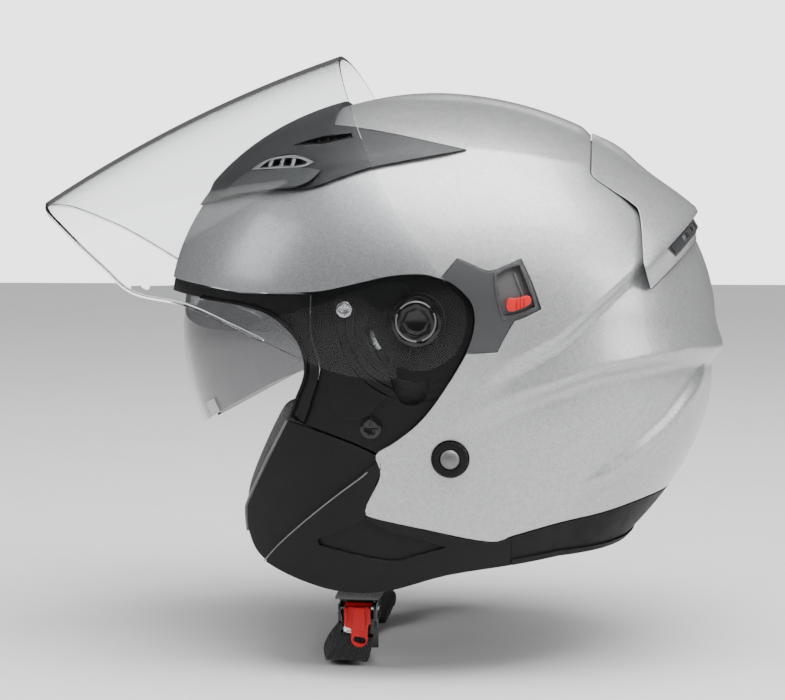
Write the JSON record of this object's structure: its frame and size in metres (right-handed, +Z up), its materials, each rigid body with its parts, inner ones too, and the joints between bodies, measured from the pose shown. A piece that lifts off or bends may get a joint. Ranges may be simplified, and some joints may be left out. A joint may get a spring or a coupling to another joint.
{
  "type": "open face motorcycle helmet",
  "caption": "Open face helmet with a long flip-up clear visor, a drop-down smoke sun visor worked by a side slider, forehead vents, a rear spoiler and a quick-release chin strap.",
  "frame": {"origin": "middle of the clear visor's pivot axis, inside the head cavity", "axes": "+X is the wearer's left, -Y is forward, +Z is up"},
  "size_m": [0.2488, 0.3456, 0.3027],
  "materials": {
    "silver_paint": "silver metallic paint with fine flake under clear lacquer, on a moulded plastic shell",
    "grey_satin": "dark grey satin moulded plastic",
    "black_plastic": "black satin moulded plastic",
    "gloss_black": "black gloss moulded plastic",
    "rubber": "black matt rubber",
    "red_plastic": "red semi-gloss plastic",
    "steel": "zinc plated steel",
    "foam": "black expanded polystyrene",
    "pad_fabric": "black mesh fabric over soft foam",
    "webbing": "black woven webbing",
    "clear_plastic": "clear polycarbonate, slightly tinted edge",
    "smoke_plastic": "smoke tinted polycarbonate"
  },
  "bodies": {
    "helmet_body": {"outer_shell": "silver_paint", "impact_liner": "foam", "comfort_crown_pad": "pad_fabric", "neck_roll": "pad_fabric", "eyeport_gasket": "rubber", "visor_base_plate_left": "black_plastic", "visor_base_plate_right": "black_plastic", "visor_pivot_cap_left": "gloss_black", "visor_pivot_cap_right": "gloss_black", "plate_screw_upper_left": "steel", "plate_screw_upper_right": "steel", "plate_screw_lower_left": "gloss_black", "plate_screw_lower_right": "gloss_black", "slider_cover_left": "grey_satin", "side_cover_right": "grey_satin", "sun_visor_pin_left": "steel", "sun_visor_pin_right": "steel", "cheek_skirt_left": "black_plastic", "cheek_skirt_right": "black_plastic", "cheek_pad_left": "pad_fabric", "cheek_pad_right": "pad_fabric", "rear_rim_trim": "rubber", "forehead_vent_panel": "grey_satin", "low_vent_grille_left": "silver_paint", "low_vent_grille_right": "silver_paint", "high_vent_grille_left": "black_plastic", "high_vent_grille_right": "black_plastic", "rear_spoiler": "silver_paint", "exhaust_grille": "grey_satin", "anchor_ring_left": "black_plastic", "anchor_ring_right": "black_plastic", "anchor_rivet_left": "steel", "anchor_rivet_right": "steel", "chin_strap_left": "webbing", "chin_strap_right": "webbing", "chin_pad": "pad_fabric", "buckle_frame": "black_plastic", "buckle_pin": "steel", "ratchet_tongue": "steel"},
    "visor": {"clear_visor": "clear_plastic"},
    "inner_visor": {"sun_visor": "smoke_plastic"},
    "slider": {"sun_visor_slider": "red_plastic"},
    "shutter_left": {"low_vent_shutter_left": "black_plastic"},
    "shutter_right": {"low_vent_shutter_right": "black_plastic"},
    "quick_release": {"buckle_lever": "red_plastic"}
  },
  "joints": [
    {"name": "visor_hinge", "type": "hinge", "parent": "helmet_body", "child": "visor", "pos_m": [0, 0, 0], "axis": [1, 0, 0], "range_deg": [0, 63]},
    {"name": "sun_visor_hinge", "type": "hinge", "parent": "helmet_body", "child": "inner_visor", "pos_m": [0, -0.02, -0.009], "axis": [-1, 0, 0], "range_deg": [0, 38]},
    {"name": "slider_slide", "type": "slide", "parent": "helmet_body", "child": "slider", "axis": [0, -0.35, 0.9367], "range_m": [0, 0.011]},
    {"name": "shutter_left_slide", "type": "slide", "parent": "helmet_body", "child": "shutter_left", "axis": [0.6, 0.7937, 0.1], "range_m": [0, 0.005]},
    {"name": "shutter_right_slide", "type": "slide", "parent": "helmet_body", "child": "shutter_right", "axis": [-0.6, 0.7937, 0.1], "range_m": [0, 0.005]},
    {"name": "lever_hinge", "type": "hinge", "parent": "helmet_body", "child": "quick_release", "pos_m": [0.07, -0.033, -0.1425], "axis": [0, -1, 0], "range_deg": [0, 55], "stiffness_Nm_per_rad": 0.02}
  ],
  "couplings": [
    {"joint": "slider_slide", "follows": "sun_visor_hinge", "m_per_rad": 0.01658}
  ]
}
